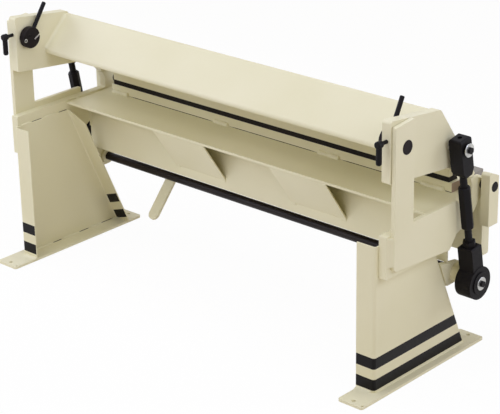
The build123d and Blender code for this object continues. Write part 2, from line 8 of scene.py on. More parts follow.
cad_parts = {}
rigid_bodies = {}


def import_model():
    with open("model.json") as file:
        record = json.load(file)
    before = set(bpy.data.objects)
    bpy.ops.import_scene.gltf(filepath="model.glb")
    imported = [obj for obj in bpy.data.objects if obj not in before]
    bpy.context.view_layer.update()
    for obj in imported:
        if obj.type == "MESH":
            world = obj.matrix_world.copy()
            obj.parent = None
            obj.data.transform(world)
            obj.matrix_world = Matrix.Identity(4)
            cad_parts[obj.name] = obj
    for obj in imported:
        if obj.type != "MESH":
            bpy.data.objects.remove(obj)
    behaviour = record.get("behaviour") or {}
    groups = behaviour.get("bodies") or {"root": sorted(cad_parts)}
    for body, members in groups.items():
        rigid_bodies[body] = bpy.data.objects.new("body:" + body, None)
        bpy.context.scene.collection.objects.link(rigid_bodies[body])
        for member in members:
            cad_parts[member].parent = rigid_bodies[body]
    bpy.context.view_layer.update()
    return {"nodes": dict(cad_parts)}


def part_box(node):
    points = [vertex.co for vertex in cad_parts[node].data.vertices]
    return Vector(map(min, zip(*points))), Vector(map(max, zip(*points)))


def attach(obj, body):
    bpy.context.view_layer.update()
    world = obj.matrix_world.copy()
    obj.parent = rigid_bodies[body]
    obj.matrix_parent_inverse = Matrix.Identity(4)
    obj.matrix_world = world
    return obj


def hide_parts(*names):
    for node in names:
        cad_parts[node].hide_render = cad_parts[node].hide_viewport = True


for leftover in list(bpy.data.objects):  # the default cube, lamp and camera
    bpy.data.objects.remove(leftover)
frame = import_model()
nodes = frame["nodes"]
mm = 0.001  # in metres
print("frame loaded:", len(nodes), "nodes")


def linear(hexColour):
    # sRGB hex to the linear values that shader sockets take
    channels = [int(hexColour[i : i + 2], 16) / 255 for i in (1, 3, 5)]
    return [c / 12.92 if c <= 0.04045 else ((c + 0.055) / 1.055) ** 2.4 for c in channels] + [1.0]


def addNode(tree, kind, inputs=None, **settings):
    # inputs are sockets to link from, or plain values
    node = tree.nodes.new(kind)
    for name, value in settings.items():
        setattr(node, name, value)
    for key, value in (inputs or {}).items():
        if isinstance(value, bpy.types.NodeSocket):
            tree.links.new(value, node.inputs[key])
        else:
            node.inputs[key].default_value = value
    return node


def perMetre(sizeInMm):
    # texture scale at which one feature is about this many millimetres
    return 1000.0 / sizeInMm


# Where the noises and the edge test start and end. Noise lies mostly between 0.3 and 0.7, and the edge test
# is the cosine between the rounded and the flat normal.
finishTests = {"drift": (0.35, 0.65), "grain": (0.3, 0.7), "edge": (0.99, 0.86), "edgeSamples": 4}


def baseFinish(name, look):
    # Two tones drift over a long distance, a fine grain varies the gloss and gives the skin its bump,
    # and a rounded-normal test finds the edges, which take a third tone: wear and a painted highlight.
    material = bpy.data.materials.new(name)
    material.use_nodes = True
    tree = material.node_tree
    shader = tree.nodes["Principled BSDF"]
    shader.inputs["Metallic"].default_value = look.get("metallic", 0.0)
    shader.inputs["Specular IOR Level"].default_value = look.get("specular", 0.5)
    place = addNode(tree, "ShaderNodeTexCoord").outputs["Object"]
    lay = addNode(tree, "ShaderNodeMapping", {"Vector": place, "Scale": look.get("stretch", (1, 1, 1))})
    drift = addNode(
        tree, "ShaderNodeTexNoise", {"Vector": place, "Scale": perMetre(look["driftMm"]), "Detail": 3.0}
    )
    grain = addNode(
        tree, "ShaderNodeTexNoise",
        {"Vector": lay.outputs[0], "Scale": perMetre(look["grainMm"]), "Detail": 2.0},
    )
    calm, strong = finishTests["drift"]
    share = addNode(
        tree, "ShaderNodeMapRange", {"Value": drift.outputs[0], "From Min": calm, "From Max": strong}
    )
    tone = addNode(
        tree, "ShaderNodeMix",
        {0: share.outputs[0], 6: linear(look["colours"][0]), 7: linear(look["colours"][1])},
        data_type="RGBA",
    )
    speck = addNode(
        tree, "ShaderNodeMix", {0: look["speck"], 6: tone.outputs[2], 7: grain.outputs[0]},
        data_type="RGBA", blend_type="SOFT_LIGHT",
    )
    rounded = addNode(
        tree, "ShaderNodeBevel", {"Radius": look["edgeMm"] * mm}, samples=finishTests["edgeSamples"]
    )
    flat = addNode(tree, "ShaderNodeNewGeometry")
    turn = addNode(
        tree, "ShaderNodeVectorMath", {0: rounded.outputs[0], 1: flat.outputs["True Normal"]},
        operation="DOT_PRODUCT",
    )
    level, turned = finishTests["edge"]
    edge = addNode(
        tree, "ShaderNodeMapRange",
        {"Value": turn.outputs["Value"], "From Min": level, "From Max": turned, "To Max": look["edgeShare"]},
    )
    # The edge tone is wear together with a painted highlight along the edges.
    colour = addNode(
        tree, "ShaderNodeMix", {0: edge.outputs[0], 6: speck.outputs[2], 7: linear(look["edgeWearHighlight"])},
        data_type="RGBA",
    )
    (smooth, rough), (fine, coarse) = look["roughness"], finishTests["grain"]
    gloss = addNode(
        tree, "ShaderNodeMapRange",
        {"Value": grain.outputs[0], "From Min": fine, "From Max": coarse, "To Min": smooth, "To Max": rough},
    )
    skin = addNode(
        tree, "ShaderNodeBump",
        {"Height": grain.outputs[0], "Strength": look["bump"], "Distance": look["bumpMm"] * mm},
    )
    tree.links.new(skin.outputs[0], shader.inputs["Normal"])
    tree.links.new(gloss.outputs[0], shader.inputs["Roughness"])
    tree.links.new(colour.outputs[2], shader.inputs["Base Color"])
    return material, tree, shader, place, colour.outputs[2]


# Polyester powder coat on sheet steel: even cream, semi-gloss, a faint orange-peel skin.
# The peel is 2 to 4 mm across on the real coat and is drawn at 14 mm so that it shows.
creamCoat = {
    "colours": ("#E7E1BE", "#E2DCB6"), "driftMm": 600, "grainMm": 14, "speck": 0.03, "specular": 0.32,
    "roughness": (0.38, 0.48), "bump": 0.05, "bumpMm": 0.6,
    "edgeMm": 2.0, "edgeShare": 0.25, "edgeWearHighlight": "#ECE8CA",
}
# Black oxide on turned and milled steel: near black, satin, grey on the corners as wear and a painted
# highlight.
blackOxide = {
    "colours": ("#171415", "#121011"), "driftMm": 90, "grainMm": 5, "speck": 0.1,
    "specular": 0.12, "roughness": (0.44, 0.58), "bump": 0.12, "bumpMm": 0.4,
    "edgeMm": 1.4, "edgeShare": 0.28, "edgeWearHighlight": "#34302F",
}
# Black oxide on ground tool steel: darker and browner, with the grinding along the row.
groundOxide = {
    "colours": ("#1A1311", "#120E0C"), "driftMm": 120, "grainMm": 3, "stretch": (0.05, 1, 1), "speck": 0.15,
    "specular": 0.14, "roughness": (0.38, 0.52), "bump": 0.1, "bumpMm": 0.3,
    "edgeMm": 1.0, "edgeShare": 0.4, "edgeWearHighlight": "#342D2A",
}
# Oiled black bar stock: the brown-black mill skin of the cross shaft, drawn along its length.
millBar = {
    "colours": ("#2A2320", "#201A18"), "driftMm": 160, "grainMm": 6, "stretch": (0.08, 1, 1), "speck": 0.15,
    "specular": 0.16, "roughness": (0.36, 0.5), "bump": 0.1, "bumpMm": 0.3,
    "edgeMm": 1.2, "edgeShare": 0.4, "edgeWearHighlight": "#453E3B",
}
# Zinc plate on pressed washers: bright, slightly warm, with a soft sheen.
zincPlate = {
    "colours": ("#C9C8C4", "#B3B2AF"), "driftMm": 25, "grainMm": 4, "speck": 0.15, "metallic": 1.0,
    "roughness": (0.3, 0.44), "bump": 0.08, "bumpMm": 0.2,
    "edgeMm": 0.8, "edgeShare": 0.3, "edgeWearHighlight": "#EDECE8",
}
# Milled bare steel under a film of oil: warm grey, with cutter lines along the bar.
# Cutter lines are under 1 mm apart and are drawn at 4 mm so that they show.
milledSteel = {
    "colours": ("#969088", "#827C75"), "driftMm": 140, "grainMm": 4, "stretch": (0.03, 1, 1), "speck": 0.25,
    "metallic": 0.85, "roughness": (0.34, 0.5), "bump": 0.12, "bumpMm": 0.2,
    "edgeMm": 1.2, "edgeShare": 0.5, "edgeWearHighlight": "#B5B0A9",
}
# Turned bearing bronze: warm metal, fine turning marks round the bore.
turnedBronze = {
    "colours": ("#B98A4C", "#A3763C"), "driftMm": 30, "grainMm": 2, "stretch": (1, 0.2, 0.2), "speck": 0.2,
    "metallic": 1.0, "roughness": (0.3, 0.42), "bump": 0.1, "bumpMm": 0.2,
    "edgeMm": 0.8, "edgeShare": 0.3, "edgeWearHighlight": "#D2A868",
}
# Moulded nitrile rubber: matt charcoal with a fine stipple.
mouldedRubber = {
    "colours": ("#242325", "#1C1B1D"), "driftMm": 60, "grainMm": 3, "speck": 0.2,
    "roughness": (0.66, 0.8), "bump": 0.25, "bumpMm": 0.4,
    "edgeMm": 1.0, "edgeShare": 0.3, "edgeWearHighlight": "#38363A",
}
# Painted shade in the gap between two plates, over unpainted steel: dark, matt, brown with mill scale.
gapShade = {
    "colours": ("#3D3524", "#2E281B"), "driftMm": 50, "grainMm": 5, "speck": 0.2,
    "roughness": (0.7, 0.85), "bump": 0.1, "bumpMm": 0.3,
    "edgeMm": 0.5, "edgeShare": 0.0, "edgeWearHighlight": "#3D3524",
}

# Charcoal bands round the legs, duller than the coat. Inside the front flange they climb to its free edge,
# and the right leg's stand higher than the left's.
bandCoat = dict(creamCoat, specular=0.15)
legBands = {
    "colour": "#100D0D", "middlesMm": (46.0, 143.5), "halfMm": 25.3, "rightRaiseMm": 15.5,
    "climb": 0.37, "climbFromMm": 1035.0, "frontOfMm": -20.0, "facesRear": 0.3, "facesIn": -0.5,
}
# The nose bar's sawn ends, past the coat.
bareEnd = {"colour": "#A5917F", "fromMm": 1024.6}
# The setback discs are a shade browner than the other black steel. Their slit is painted as a bright patch,
# a painted highlight standing for its lit wall: its place, lean and half sizes along and across.
discOxide = dict(blackOxide, colours=("#211A1A", "#191414"))
slitHighlight = {
    "colour": "#D6D2C9", "placeMm": (0.0, 148.0, 1085.0), "lean": -29.0,
    "halfLengthMm": 19.5, "halfWidthMm": 3.4, "withinMm": 1076.0,
}


def paintOver(tree, shader, ground, mask, colour):
    # the finish's own colour, and this one where the mask is 1
    over = addNode(tree, "ShaderNodeMix", {0: mask, 6: ground, 7: linear(colour)}, data_type="RGBA")
    tree.links.new(over.outputs[2], shader.inputs["Base Color"])


def bandedCoat(bands):
    # The cream coat with two charcoal bands at set heights, on every face that doesn't look inwards:
    # the height tested gains the climb inside the front flange and loses the right leg's raise elsewhere.
    material, tree, shader, place, ground = baseFinish("cream powder coat with charcoal bands", bandCoat)
    x, y, z = addNode(tree, "ShaderNodeSeparateXYZ", {0: place}).outputs
    facing = addNode(tree, "ShaderNodeTexCoord").outputs["Normal"]
    faceX, faceY = addNode(tree, "ShaderNodeSeparateXYZ", {0: facing}).outputs[:2]
    inFront = addNode(tree, "ShaderNodeMath", {0: y, 1: bands["frontOfMm"] * mm}, operation="LESS_THAN")
    facesRear = addNode(tree, "ShaderNodeMath", {0: faceY, 1: bands["facesRear"]}, operation="GREATER_THAN")
    inFlange = addNode(
        tree, "ShaderNodeMath", {0: inFront.outputs[0], 1: facesRear.outputs[0]}, operation="MULTIPLY"
    )
    away = addNode(tree, "ShaderNodeMath", {0: x}, operation="ABSOLUTE")
    climb = addNode(
        tree, "ShaderNodeMath",
        {0: away.outputs[0], 1: bands["climb"], 2: -bands["climb"] * bands["climbFromMm"] * mm},
        operation="MULTIPLY_ADD",
    )
    height = addNode(
        tree, "ShaderNodeMath", {0: climb.outputs[0], 1: inFlange.outputs[0], 2: z}, operation="MULTIPLY_ADD"
    )
    onRight = addNode(tree, "ShaderNodeMath", {0: x, 1: 0.0}, operation="GREATER_THAN")
    raised = addNode(
        tree, "ShaderNodeMath", {0: onRight.outputs[0], 1: inFlange.outputs[0]}, operation="SUBTRACT",
        use_clamp=True,
    )
    height = addNode(
        tree, "ShaderNodeMath",
        {0: raised.outputs[0], 1: -bands["rightRaiseMm"] * mm, 2: height.outputs[0]},
        operation="MULTIPLY_ADD",
    )
    low, high = (
        addNode(
            tree, "ShaderNodeMath", {0: height.outputs[0], 1: middle * mm, 2: bands["halfMm"] * mm},
            operation="COMPARE",
        )
        for middle in bands["middlesMm"]
    )
    either = addNode(tree, "ShaderNodeMath", {0: low.outputs[0], 1: high.outputs[0]}, operation="ADD")
    outward = addNode(tree, "ShaderNodeMath", {0: x, 1: faceX}, operation="MULTIPLY")
    shown = addNode(
        tree, "ShaderNodeMath", {0: outward.outputs[0], 1: bands["facesIn"]}, operation="GREATER_THAN"
    )
    mask = addNode(tree, "ShaderNodeMath", {0: either.outputs[0], 1: shown.outputs[0]}, operation="MULTIPLY")
    paintOver(tree, shader, ground, mask.outputs[0], bands["colour"])
    return material


def bareEndedCoat(end):
    # The cream coat, left bare on the two end faces of the bar.
    material, tree, shader, place, ground = baseFinish("cream powder coat with bare ends", creamCoat)
    x = addNode(tree, "ShaderNodeSeparateXYZ", {0: place}).outputs[0]
    away = addNode(tree, "ShaderNodeMath", {0: x}, operation="ABSOLUTE")
    mask = addNode(
        tree, "ShaderNodeMath", {0: away.outputs[0], 1: end["fromMm"] * mm}, operation="GREATER_THAN"
    )
    paintOver(tree, shader, ground, mask.outputs[0], end["colour"])
    return material


def oxideWithSlitHighlight(slit):
    # Black oxide with the slit painted bright as a highlight of its lit wall: the coordinates are moved and
    # turned to the slit's own axes.
    material, tree, shader, place, ground = baseFinish("black oxide steel with painted slit highlight", discOxide)
    own = addNode(
        tree, "ShaderNodeMapping",
        {
            "Vector": place, "Location": [v * mm for v in slit["placeMm"]],
            "Rotation": (math.radians(slit["lean"]), 0, 0),
        },
        vector_type="TEXTURE",
    )
    x, along, across = addNode(tree, "ShaderNodeSeparateXYZ", {0: own.outputs[0]}).outputs
    inWidth = addNode(
        tree, "ShaderNodeMath", {0: across, 1: 0.0, 2: slit["halfWidthMm"] * mm}, operation="COMPARE"
    )
    inLength = addNode(
        tree, "ShaderNodeMath", {0: along, 1: 0.0, 2: slit["halfLengthMm"] * mm}, operation="COMPARE"
    )
    inDisc = addNode(tree, "ShaderNodeMath", {0: x, 1: 0.0, 2: slit["withinMm"] * mm}, operation="COMPARE")
    area = addNode(
        tree, "ShaderNodeMath", {0: inWidth.outputs[0], 1: inLength.outputs[0]}, operation="MULTIPLY"
    )
    mask = addNode(tree, "ShaderNodeMath", {0: area.outputs[0], 1: inDisc.outputs[0]}, operation="MULTIPLY")
    # The slit is painted bright: a painted highlight for its lit wall.
    paintOver(tree, shader, ground, mask.outputs[0], slit["colour"])
    return material


# One finish for each material slot of the record, and the few nodes that have one of their own.
finishes = {
    "cream_paint": baseFinish("cream powder coat", creamCoat)[0],
    "black_oxide_steel": baseFinish("black oxide steel", blackOxide)[0],
    "black_tool_steel": baseFinish("ground black oxide tool steel", groundOxide)[0],
    "bright_steel": baseFinish("zinc plated steel", zincPlate)[0],
    "bare_steel": baseFinish("milled bare steel", milledSteel)[0],
    "bronze": baseFinish("turned bearing bronze", turnedBronze)[0],
    "grip_rubber": baseFinish("moulded nitrile rubber", mouldedRubber)[0],
}
# The open seams' dark finish is painted shade for the shadow in the gap, over unpainted steel.
gapShadeFinish = baseFinish("painted shade in plate gap", gapShade)[0]
bandedFinish = bandedCoat(legBands)
slitHighlightFinish = oxideWithSlitHighlight(slitHighlight)
ownFinish = {
    "leg_left": bandedFinish, "leg_right": bandedFinish, "bed_nose_bar": bareEndedCoat(bareEnd),
    "clamp_shaft": baseFinish("oiled black bar stock", millBar)[0],
    "setback_pin_left": slitHighlightFinish, "setback_pin_right": slitHighlightFinish,
    "shaft_bushes": finishes["cream_paint"],  # sprayed over together with the bearing
}
for name, node in nodes.items():
    slotName = node.material_slots[0].material.name.split(".")[0]
    node.material_slots[0].material = ownFinish.get(name, finishes[slotName])
print("finishes on", len(nodes), "nodes")

# Broken edges in millimetres, by how the piece is made: sheared plate, folded sheet, machined steel.
edgeBreaks = {
    "foot_left": 1.2, "foot_right": 1.2, "leg_left": 0.8, "leg_right": 0.8,
    "side_plate_left": 1.6, "side_plate_right": 1.6, "post_plate_left": 1.6, "post_plate_right": 1.6,
    "beam_end_left": 1.6, "beam_end_right": 1.6, "beam_shell": 1.0,
    "bed_shelf": 1.2, "bed_web": 1.0, "bed_gussets": 0.8, "bed_nose_bar": 1.2,
    "shaft_bearing_left": 1.6, "shaft_bearing_right": 1.6,
    "apron_leaf": 1.2, "apron_bar": 1.0,
    "apron_block_left": 2.0, "apron_block_right": 2.0,
    "link_eye_left": 1.8, "link_eye_right": 1.8, "link_head_left": 1.8, "link_head_right": 1.8,
    "turnbuckle_left": 1.0, "turnbuckle_right": 1.0, "link_nut_left": 1.2, "link_nut_right": 1.2,
    "link_bolts": 1.0, "eccentric_bolts": 1.0, "apron_bolts": 0.8, "clamp_lever": 1.2,
}
breakLook = {"mergeMm": 0.02, "flatDegrees": 0.5, "sharpDegrees": 32.0, "segments": 2}


def breakEdges(node, widthMm):
    # Loose triangles are joined and flat faces made whole before the edges are rounded.
    joined = node.modifiers.new("join", "WELD")
    joined.merge_threshold = breakLook["mergeMm"] * mm
    whole = node.modifiers.new("whole faces", "DECIMATE")
    whole.decimate_type = "DISSOLVE"
    whole.angle_limit = math.radians(breakLook["flatDegrees"])
    rounded = node.modifiers.new("broken edge", "BEVEL")
    rounded.width = widthMm * mm
    rounded.segments = breakLook["segments"]
    rounded.limit_method = "ANGLE"
    rounded.angle_limit = math.radians(breakLook["sharpDegrees"])
    rounded.use_clamp_overlap = True
    even = node.modifiers.new("even shading", "WEIGHTED_NORMAL")
    even.keep_sharp = False


for name, width in edgeBreaks.items():
    breakEdges(nodes[name], width)
print("edges broken on", len(edgeBreaks), "nodes")


def boxMm(name):
    # a node's lowest and highest corners in millimetres
    low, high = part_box(name)
    return np.array(low) / mm, np.array(high) / mm


def surfacePiece(name, body, material, grids, replaced=(), sharpDegrees=40):
    # Each grid is rows by columns of points in millimetres. Columns run round and close on themselves. Where
    # the last row repeats the first, the rows do too, and elsewhere the first and last rows are closed by
    # a fan to their middle. Faces are turned to point outwards.
    points, faces, start = [], [], 0
    for grid in grids:
        isRing = np.allclose(grid[0], grid[-1])
        grid = grid[:-1] if isRing else grid
        rows, columns = grid.shape[:2]
        index = np.arange(rows * columns).reshape(rows, columns)
        here, there = (index, np.roll(index, -1, 0)) if isRing else (index[:-1], index[1:])
        quads = np.stack([here, np.roll(here, -1, 1), np.roll(there, -1, 1), there], -1).reshape(-1, 4)
        firstFan = np.stack([np.full(columns, index.size), np.roll(index[0], -1), index[0]], -1)
        lastFan = np.stack([np.full(columns, index.size + 1), index[-1], np.roll(index[-1], -1)], -1)
        fans = np.vstack([firstFan, lastFan])[: 0 if isRing else None]
        middles = np.stack([grid[0].mean(0), grid[-1].mean(0)])[: 0 if isRing else None]
        cloud = np.vstack([grid.reshape(-1, 3), middles])
        corner = cloud[np.vstack([quads[:, :3], quads[:, [0, 2, 3]], fans])] - cloud.mean(0)
        volume = np.einsum("ij,ij->i", corner[:, 0], np.cross(corner[:, 1], corner[:, 2])).sum()
        way = 1 if volume > 0 else -1
        faces += (quads[:, ::way] + start).tolist() + (fans[:, ::way] + start).tolist()
        points.append(cloud)
        start += len(cloud)
    mesh = bpy.data.meshes.new(name)
    mesh.from_pydata((np.vstack(points) * mm).tolist(), [], faces)
    mesh.shade_smooth()
    mesh.set_sharp_from_angle(angle=math.radians(sharpDegrees))
    mesh.materials.append(material)
    piece = bpy.data.objects.new(name, mesh)
    bpy.context.scene.collection.objects.link(piece)
    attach(piece, body)
    if replaced:
        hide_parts(*replaced)


def seamBead(start, end, sideA, sideB, look):
    # A bead in the corner of two plates. Across it, a line runs from a toe on plate A to a toe on plate B,
    # pushed out or in by a half sine, then back through the corner just inside the steel. Along it, the size
    # follows a ripple whose crests are bowed, a slow swell, and a quarter-ellipse run-out at each end.
    start, end, sideA, sideB = (np.array(v, float) for v in (start, end, sideA, sideB))
    length = np.linalg.norm(end - start)
    u = np.linspace(0, 1, max(9, int(length / look["stepMm"])))
    t = np.linspace(0, 1, look["columns"])
    toeA, toeB = look["legsMm"]
    sink = look["sinkMm"]
    bulge = look["crown"] * (toeA + toeB) / 2 * np.sin(np.pi * t)
    outA = np.concatenate([[toeA], (1 - t) * toeA + bulge, [-sink, -sink]])
    outB = np.concatenate([[-sink], t * toeB + bulge, [toeB, -sink]])
    bow = np.concatenate([[0], np.sin(np.pi * t), [0, 0]])
    runOut = np.clip(np.minimum(u, 1 - u) * length / look["runOutMm"], 0, 1)
    tail = look["tail"]
    size = tail + (1 - tail) * np.sqrt(1 - (1 - runOut) ** 2)
    size = size * (1 + look["swell"] * np.sin(2 * np.pi * u * length / look["swellMm"] + start.sum()))
    wave = np.sin(2 * np.pi * (u[:, None] * length / look["rippleMm"] + look["crestBow"] * bow))
    size = size[:, None] * (1 + look["ripple"] * wave * (bow > 0))
    line = start + u[:, None] * (end - start)
    return line[:, None] + (size * outA)[:, :, None] * sideA + (size * outB)[:, :, None] * sideB


def turnedGrid(profile, place, axis, columns=32, hexFrom=None):
    # A radius-and-height profile carried round an axis. From row hexFrom on, the circle becomes a hexagon:
    # its radius is divided by the cosine of the angle from the middle of the nearest flat.
    axis = np.array(axis, float) / np.linalg.norm(axis)
    side = np.cross(axis, (1.0, 0.0, 0.0) if abs(axis[0]) < 0.9 else (0.0, 1.0, 0.0))
    side /= np.linalg.norm(side)
    angle = np.linspace(0, 2 * np.pi, columns, endpoint=False)
    radius, height = np.array(profile, float).T
    fromFlat = np.mod(angle + np.pi / 6, np.pi / 3) - np.pi / 6
    sixSided = np.arange(len(radius)) >= (len(radius) if hexFrom is None else hexFrom)
    reach = radius[:, None] * np.where(sixSided[:, None], 1 / np.cos(fromFlat), 1.0)
    ring = np.cos(angle)[:, None] * side + np.sin(angle)[:, None] * np.cross(axis, side)
    return np.array(place, float) + reach[:, :, None] * ring + height[:, None, None] * axis


# Stitch weld left as laid and painted over. Real ripples are 3 mm apart and are drawn at 9 mm to show.
# Legs are the bead's reach on plate A and on plate B, and tail is its share of the size at its very ends.
stitchWeld = {
    "legsMm": (17, 12), "crown": 0.2, "sinkMm": 0.4, "stepMm": 1.8, "columns": 11, "runOutMm": 9,
    "rippleMm": 9.0, "ripple": 0.06, "crestBow": 0.35, "swell": 0.08, "swellMm": 71.0, "tail": 0.06,
}
smallWeld = dict(stitchWeld, legsMm=(6, 6), runOutMm=5, rippleMm=6.0, columns=9)
tackWeld = dict(smallWeld, legsMm=(8, 9))
# Fillet ground to a smooth hollow before painting.
footFillet = {
    "legsMm": (8, 20), "crown": -0.12, "sinkMm": 0.4, "stepMm": 4.0, "columns": 15, "runOutMm": 2,
    "rippleMm": 40.0, "ripple": 0.0, "crestBow": 0.35, "swell": 0.0, "swellMm": 71.0, "tail": 0.06,
}
beamFillet = dict(footFillet, legsMm=(14, 14), crown=-0.2, runOutMm=8)
postFillet = dict(footFillet, legsMm=(18, 26), crown=-0.1, runOutMm=10)
# Open seam between stitches: a thin dark line, painted shade standing in for the shadow in the gap.
openSeamShade = dict(footFillet, legsMm=(2.2, 2.2), crown=0.0, sinkMm=0.2, stepMm=40.0, columns=3, runOutMm=1)
up, down, rear, front = (0, 0, 1), (0, 0, -1), (0, 1, 0), (0, -1, 0)
cream = finishes["cream_paint"]
sides = (("left", -1), ("right", 1))

# Nose bar on the shelf: four stitches, with the open seam's painted shade line between them.
noseSeams = {"weldsMm": ((-991, -865), (-420, -293), (246, 341), (908, 1022))}
noseLow, noseHigh = boxMm("bed_nose_bar")
shelfHigh = boxMm("bed_shelf")[1]


def noseSeam(span, look):
    return seamBead(*((x, noseHigh[1], shelfHigh[2]) for x in span), up, rear, look)


stitches = [noseSeam(span, stitchWeld) for span in noseSeams["weldsMm"]]
surfacePiece("nose_stitches", "frame", cream, stitches)
starts, ends = zip(*noseSeams["weldsMm"])
gapShades = [noseSeam(span, openSeamShade) for span in zip((noseLow[0],) + ends[:-1], starts)]

# Legs on their foot plates and side plates: stitches and the open seam's painted shade line inside, a long
# bead outside, and a hollow fillet behind the rear flange. Spans run from the rear to the front, in
# millimetres.
legSeams = {
    "footWelds": ((270, 112), (41, -61), (-141, -211)), "footGaps": ((106, 47), (-67, -135), (-217, -300)),
    "headWelds": ((255, 196), (112, 24)), "headGaps": ((188, 119), (16, -40)),
    "sheetMm": 6.0, "bendMm": 14.0,
}


def legSeam(place, span, inwards, look):
    x, z = place
    return seamBead((x, span[0], z), (x, span[1], z), up, inwards, look)


for sideName, side in sides:
    legLow, legHigh = boxMm("leg_" + sideName)
    footTop = boxMm("foot_" + sideName)[1][2]
    outside, openEdge = (side * pick(abs(legLow[0]), abs(legHigh[0])) for pick in (max, min))
    inside = outside - side * legSeams["sheetMm"]
    inwards, outwards = (-side, 0, 0), (side, 0, 0)
    beads = []
    for where, place in (("foot", (inside, footTop)), ("head", (outside, legHigh[2]))):
        beads += [legSeam(place, span, inwards, smallWeld) for span in legSeams[where + "Welds"]]
        gapShades += [legSeam(place, span, inwards, openSeamShade) for span in legSeams[where + "Gaps"]]
    reach = (legLow[1] + legSeams["bendMm"], legHigh[1] - legSeams["bendMm"])
    beads.append(seamBead(*((outside, y, footTop) for y in reach), up, outwards, smallWeld))
    reach = (openEdge + side, outside - side * legSeams["bendMm"])
    beads.append(seamBead(*((x, legHigh[1], footTop) for x in reach), up, rear, footFillet))
    surfacePiece("leg_welds_" + sideName, "frame", cream, beads)
# The open seams are dark strips of painted shade, laid where the gap's shadow falls.
surfacePiece("open_seam_shades", "frame", gapShadeFinish, gapShades)

# Bed: shelf and web to the side plates, gusset corners to the web.
# Shelf beads end short of the nose bar and the rear edge, web beads start and stop below the shelf.
bedSeams = {
    "fromNose": 40.0, "fromRear": 60.0, "belowShelf": (12.0, 150.0),
    "gussetMiddles": (-380.0, 340.0), "gussetHalf": 161.0, "tack": 34.0,
}
webHigh = boxMm("bed_web")[1]
gussetLow, gussetHigh = boxMm("bed_gussets")
slope = np.array((0, gussetHigh[1] - gussetLow[1], gussetHigh[2] - gussetLow[2]))
slope /= np.linalg.norm(slope)
beads = []
for side in (-1, 1):
    end, inwards = side * shelfHigh[0], (-side, 0, 0)
    reach = (noseHigh[1] + bedSeams["fromNose"], shelfHigh[1] - bedSeams["fromRear"])
    beads.append(seamBead(*((end, y, shelfHigh[2]) for y in reach), up, inwards, smallWeld))
    reach = [webHigh[2] - below for below in bedSeams["belowShelf"]]
    beads.append(seamBead(*((end, webHigh[1], z) for z in reach), inwards, rear, smallWeld))
for middle in bedSeams["gussetMiddles"]:
    for toward in (-1, 1):
        reach = [middle + toward * (bedSeams["gussetHalf"] - back) for back in (0, bedSeams["tack"])]
        beads.append(seamBead(*((x, webHigh[1], gussetLow[2]) for x in reach), slope, down, tackWeld))
surfacePiece("bed_welds", "frame", cream, beads)

# Post plates on the side plates: hollow fillet up the post's rear edge.
postSeam = {"spanMm": (572.0, 705.0)}
beads = []
for sideName, side in sides:
    plateFace = side * np.abs(boxMm("side_plate_" + sideName))[:, 0].max()
    postRear = boxMm("post_plate_" + sideName)[1][1]
    run = [(plateFace, postRear, z) for z in postSeam["spanMm"]]
    beads.append(seamBead(*run, (side, 0, 0), rear, postFillet))
surfacePiece("post_welds", "frame", cream, beads)

# Beam shell to its end plates: hollow fillet down the rear slope, between shares of its length.
beamSeam = {"ridge": (-73.0, 1150.0), "fold": (88.0, 985.0), "fromRidge": 0.07, "toFold": 0.93}
shellEnd = boxMm("beam_shell")[1][0]
ridge, fall = np.array(beamSeam["ridge"]), np.subtract(beamSeam["fold"], beamSeam["ridge"])
slopeOut = np.array((0, -fall[1], fall[0])) / np.linalg.norm(fall)
beads = []
for side in (-1, 1):
    run = [(side * shellEnd, *(ridge + beamSeam[share] * fall)) for share in ("fromRidge", "toFold")]
    beads.append(seamBead(*run, slopeOut, (-side, 0, 0), beamFillet))
surfacePiece("beam_fillets", "beam", cream, beads)
print("welds and seams laid")

# Socket cap screws, one in the middle of each finger. Wide, middle and narrow fingers stand in the same
# order from the machine's middle to both ends.
fingerScrew = {
    "order": "wmnwmwnmwn", "widths": {"w": 125.0, "m": 100.0, "n": 70.0}, "seatY": -319.0, "z": 784.0,
    "head": (8.0, 6.0), "socket": (4.0, 4.0), "sink": 0.2, "rim": 0.9, "flare": 1.2, "columns": 36,
}


def capProfile(look):
    # Radius and height: up the head, round its rim, in over its face and down the socket.
    (r, h), (flat, depth), rim = look["head"], look["socket"], look["rim"]
    head = [(r, -look["sink"]), (r, h - rim), (r - rim / 3, h - rim / 3), (r - rim, h)]
    return head + [(flat * look["flare"], h), (flat, h - rim / 3), (flat, h - depth)], len(head) + 1


fingerWidths = np.array([fingerScrew["widths"][letter] for letter in fingerScrew["order"]])
middles = np.cumsum(fingerWidths) - fingerWidths / 2
profile, socketFrom = capProfile(fingerScrew)
seatY, seatZ, columns = (fingerScrew[key] for key in ("seatY", "z", "columns"))
screws = [
    turnedGrid(profile, (x, seatY, seatZ), front, columns, socketFrom)
    for x in np.concatenate([-middles[::-1], middles])
]
surfacePiece(
    "finger_cap_screws", "beam", finishes["black_tool_steel"], screws, ["finger_bolts"]
)

# Bright ring on the face of each setback disc: up its rim, over its face, down its bore and back.
discRing = {
    "placeMm": (1044.0, 219.0, 1078.5), "radius": 9.0, "bore": 5.2, "height": 1.6,
    "sink": 0.2, "chamfer": 0.5,
}
r, bore, h, sink, cut = (discRing[key] for key in ("radius", "bore", "height", "sink", "chamfer"))
rim, hole = [(r, -sink), (r, h - cut), (r - cut, h)], [(bore + cut, h), (bore, h - cut), (bore, -sink)]
for sideName, side in sides:
    x, y, z = discRing["placeMm"]
    ring = turnedGrid(rim + hole + rim[:1], (side * x, y, z), (-side, 0, 0))
    body = "setback_" + sideName
    surfacePiece("disc_ring_" + sideName, body, finishes["bright_steel"], [ring])

# Coarse thread on the link studs: the radius follows a triangle wave of height and turn together.
# Spans run along the link from the middle of its eye towards its upper pin.
linkStud = {
    "x": 1171.0, "eye": (-254.055, 353.407), "pin": (-141.0, 981.0),
    "spans": ((199.2, 259.4), (457.9, 513.4)),
    "pitch": 3.5, "rootRadius": 15.02, "depth": 0.7, "stepMm": 0.6, "columns": 40,
}


